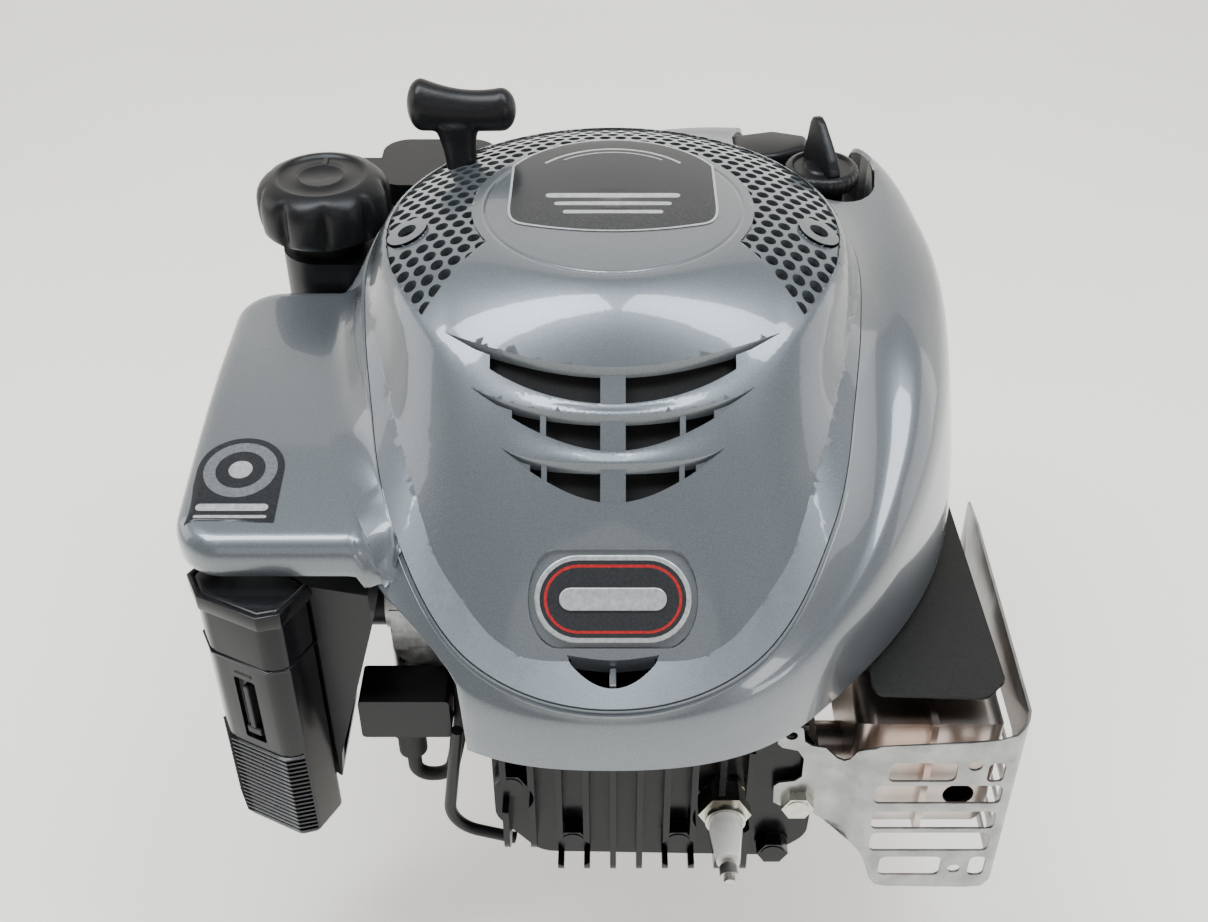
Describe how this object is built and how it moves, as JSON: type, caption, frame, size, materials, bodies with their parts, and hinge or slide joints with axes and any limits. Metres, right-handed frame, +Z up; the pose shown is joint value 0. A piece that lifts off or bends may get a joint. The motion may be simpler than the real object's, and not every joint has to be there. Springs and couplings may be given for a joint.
{
  "type": "small gasoline engine",
  "caption": "Vertical-shaft single-cylinder petrol engine with blower housing, recoil starter, air cleaner, finned head, spark plug and guarded muffler.",
  "frame": {"origin": "on the crankshaft axis at the mounting face, the centre of the mounting bolt circle", "axes": "+Z up along the crankshaft, away from the output shaft; -Y along the cylinder towards its head; +X to the right seen from the head"},
  "size_m": [0.36, 0.3547, 0.3776],
  "materials": {
    "silver_paint": "glossy metallic silver paint",
    "black_plastic": "satin black moulded plastic",
    "black_paint": "black painted casting",
    "cast_alloy": "as-cast aluminium",
    "steel": "machined or rolled steel",
    "zinc_steel": "zinc plated steel",
    "bright_guard": "bright plated sheet",
    "muffler_steel": "heat tinted steel sheet",
    "heat_plate_paint": "matt black painted sheet",
    "iron": "cast iron",
    "white_ceramic": "glazed white ceramic",
    "black_rubber": "soft black rubber",
    "rope": "braided cord",
    "gasket": "fibre gasket",
    "filter_foam": "blue filter edge",
    "badge_grey": "plain badge"
  },
  "bodies": {
    "engine_frame": {"top_cover": "silver_paint", "blower_housing": "silver_paint", "cylinder_block": "black_paint", "sump": "black_paint", "gaskets": "gasket", "oil_seals": "black_rubber", "cylinder_head": "black_paint", "head_bolts": "zinc_steel", "spark_plug_shell": "zinc_steel", "spark_plug_insulator": "white_ceramic", "spark_plug_terminal": "steel", "valve_springs": "steel", "recoil_spring": "steel", "starter_rope": "rope", "rope_guide": "black_plastic", "ignition_armature": "steel", "ignition_lead": "black_rubber", "lead_boot": "black_rubber", "fuel_tank": "black_plastic", "oil_fill_tube": "black_plastic", "intake_manifold": "black_plastic", "carburetor_body": "cast_alloy", "float_bowl": "zinc_steel", "air_filter": "filter_foam", "air_cleaner_base": "black_plastic", "control_bracket": "black_plastic", "guard_rod": "black_plastic", "case_screws": "zinc_steel", "muffler_shells": "muffler_steel", "muffler_guard": "bright_guard", "heat_plate": "heat_plate_paint", "breather_cover": "zinc_steel", "front_badge": "badge_grey"},
    "crank": {"crankshaft": "steel", "crank_gear": "steel", "flywheel": "cast_alloy", "flywheel_nut": "zinc_steel", "starter_cup": "steel"},
    "camshaft_body": {"camshaft": "iron"},
    "governor_body": {"governor_gear": "black_plastic"},
    "piston_body": {"piston": "cast_alloy", "piston_rings": "iron", "wrist_pin": "steel"},
    "rod_body": {"connecting_rod": "cast_alloy", "rod_cap": "cast_alloy"},
    "exhaust_valve_body": {"exhaust_valve": "steel", "exhaust_tappet": "iron"},
    "intake_valve_body": {"intake_valve": "steel", "intake_tappet": "iron"},
    "pulley_body": {"starter_pulley": "black_plastic"},
    "pawl_body": {"starter_pawl": "steel"},
    "handle_body": {"starter_handle": "black_plastic"},
    "cap_seal_body": {"fuel_cap_gasket": "black_rubber"},
    "fuel_cap_body": {"fuel_cap": "black_plastic"},
    "dipstick_seal_body": {"dipstick_seal": "black_rubber"},
    "dipstick_body": {"dipstick": "black_plastic"},
    "throttle_body": {"throttle_shaft": "zinc_steel"},
    "governor_arm_body": {"governor_arm": "zinc_steel"},
    "brake_body": {"brake_lever": "zinc_steel"},
    "cleaner_cover_body": {"air_cleaner_cover": "black_plastic"}
  },
  "joints": [
    {"name": "crank_spin", "type": "hinge", "parent": "engine_frame", "child": "crank", "pos_m": [0, 0, 0.062], "axis": [0, 0, 1], "continuous": true, "deforming": ["connecting_rod", "rod_cap"]},
    {"name": "cam_spin", "type": "hinge", "parent": "engine_frame", "child": "camshaft_body", "pos_m": [0.05775, 0, 0.06], "axis": [0, 0, 1], "continuous": true},
    {"name": "governor_spin", "type": "hinge", "parent": "engine_frame", "child": "governor_body", "pos_m": [0.02764, 0.04301, 0.02], "axis": [0, 0, 1], "continuous": true},
    {"name": "piston_slide", "type": "slide", "parent": "engine_frame", "child": "piston_body", "axis": [0, 1, 0], "range_m": [0, 0.0518], "deforming": ["connecting_rod", "rod_cap"]},
    {"name": "rod_swing", "type": "hinge", "parent": "piston_body", "child": "rod_body", "pos_m": [0, -0.1099, 0.062], "axis": [0, 0, 1], "range_deg": [-17.9, 17.9], "deforming": ["connecting_rod", "rod_cap"]},
    {"name": "exhaust_valve_lift", "type": "slide", "parent": "engine_frame", "child": "exhaust_valve_body", "axis": [0, -1, 0], "range_m": [0, 0.0055], "stiffness_N_per_m": 3000, "springref_m": -0.004, "deforming": ["valve_springs"]},
    {"name": "intake_valve_lift", "type": "slide", "parent": "engine_frame", "child": "intake_valve_body", "axis": [0, -1, 0], "range_m": [0, 0.0055], "stiffness_N_per_m": 3000, "springref_m": -0.004, "deforming": ["valve_springs"]},
    {"name": "pulley_spin", "type": "hinge", "parent": "engine_frame", "child": "pulley_body", "pos_m": [0, 0, 0.232], "axis": [0, 0, -1], "range_deg": [0, 1020], "stiffness_Nm_per_rad": 0.02, "springref_deg": -458.37, "deforming": ["recoil_spring", "starter_rope"]},
    {"name": "handle_pull", "type": "slide", "parent": "engine_frame", "child": "handle_body", "axis": [-0.2506, 0.3509, 0.9023], "range_m": [0, 0.5], "deforming": ["starter_rope"]},
    {"name": "pawl_swing", "type": "hinge", "parent": "pulley_body", "child": "pawl_body", "pos_m": [0.014, -0.018, 0.218], "axis": [0, 0, -1], "range_deg": [0, 14]},
    {"name": "cap_lift", "type": "slide", "parent": "engine_frame", "child": "cap_seal_body", "axis": [0, 0, 1], "range_m": [0, 0.06]},
    {"name": "cap_turn", "type": "hinge", "parent": "cap_seal_body", "child": "fuel_cap_body", "pos_m": [-0.141, 0.061, 0.23], "axis": [0, 0, 1], "range_deg": [0, 90]},
    {"name": "dipstick_lift", "type": "slide", "parent": "engine_frame", "child": "dipstick_seal_body", "axis": [0, 0, 1], "range_m": [0, 0.16]},
    {"name": "dipstick_turn", "type": "hinge", "parent": "dipstick_seal_body", "child": "dipstick_body", "pos_m": [0.104, 0.084, 0.236], "axis": [0, 0, 1], "range_deg": [0, 90]},
    {"name": "governor_swing", "type": "hinge", "parent": "engine_frame", "child": "governor_arm_body", "pos_m": [-0.076, -0.022, 0.1], "axis": [0, 0, 1], "range_deg": [0, 19.4]},
    {"name": "throttle_turn", "type": "hinge", "parent": "engine_frame", "child": "throttle_body", "pos_m": [-0.086, -0.104, 0.128], "axis": [0, 0, -1], "range_deg": [0, 75]},
    {"name": "brake_swing", "type": "hinge", "parent": "engine_frame", "child": "brake_body", "pos_m": [0.108, 0.046, 0.148], "axis": [0, 0, 1], "range_deg": [0, 8]},
    {"name": "cleaner_cover_off", "type": "slide", "parent": "engine_frame", "child": "cleaner_cover_body", "axis": [-0.5101, -0.8601, 0], "range_m": [0, 0.05]}
  ],
  "couplings": [
    {"joint": "cam_spin", "follows": "crank_spin", "ratio": -0.5},
    {"joint": "governor_spin", "follows": "crank_spin", "ratio": 1.375},
    {"joint": "handle_pull", "follows": "pulley_spin", "m_per_rad": 0.028},
    {"joint": "throttle_turn", "follows": "governor_swing", "ratio": 3.86}
  ]
}
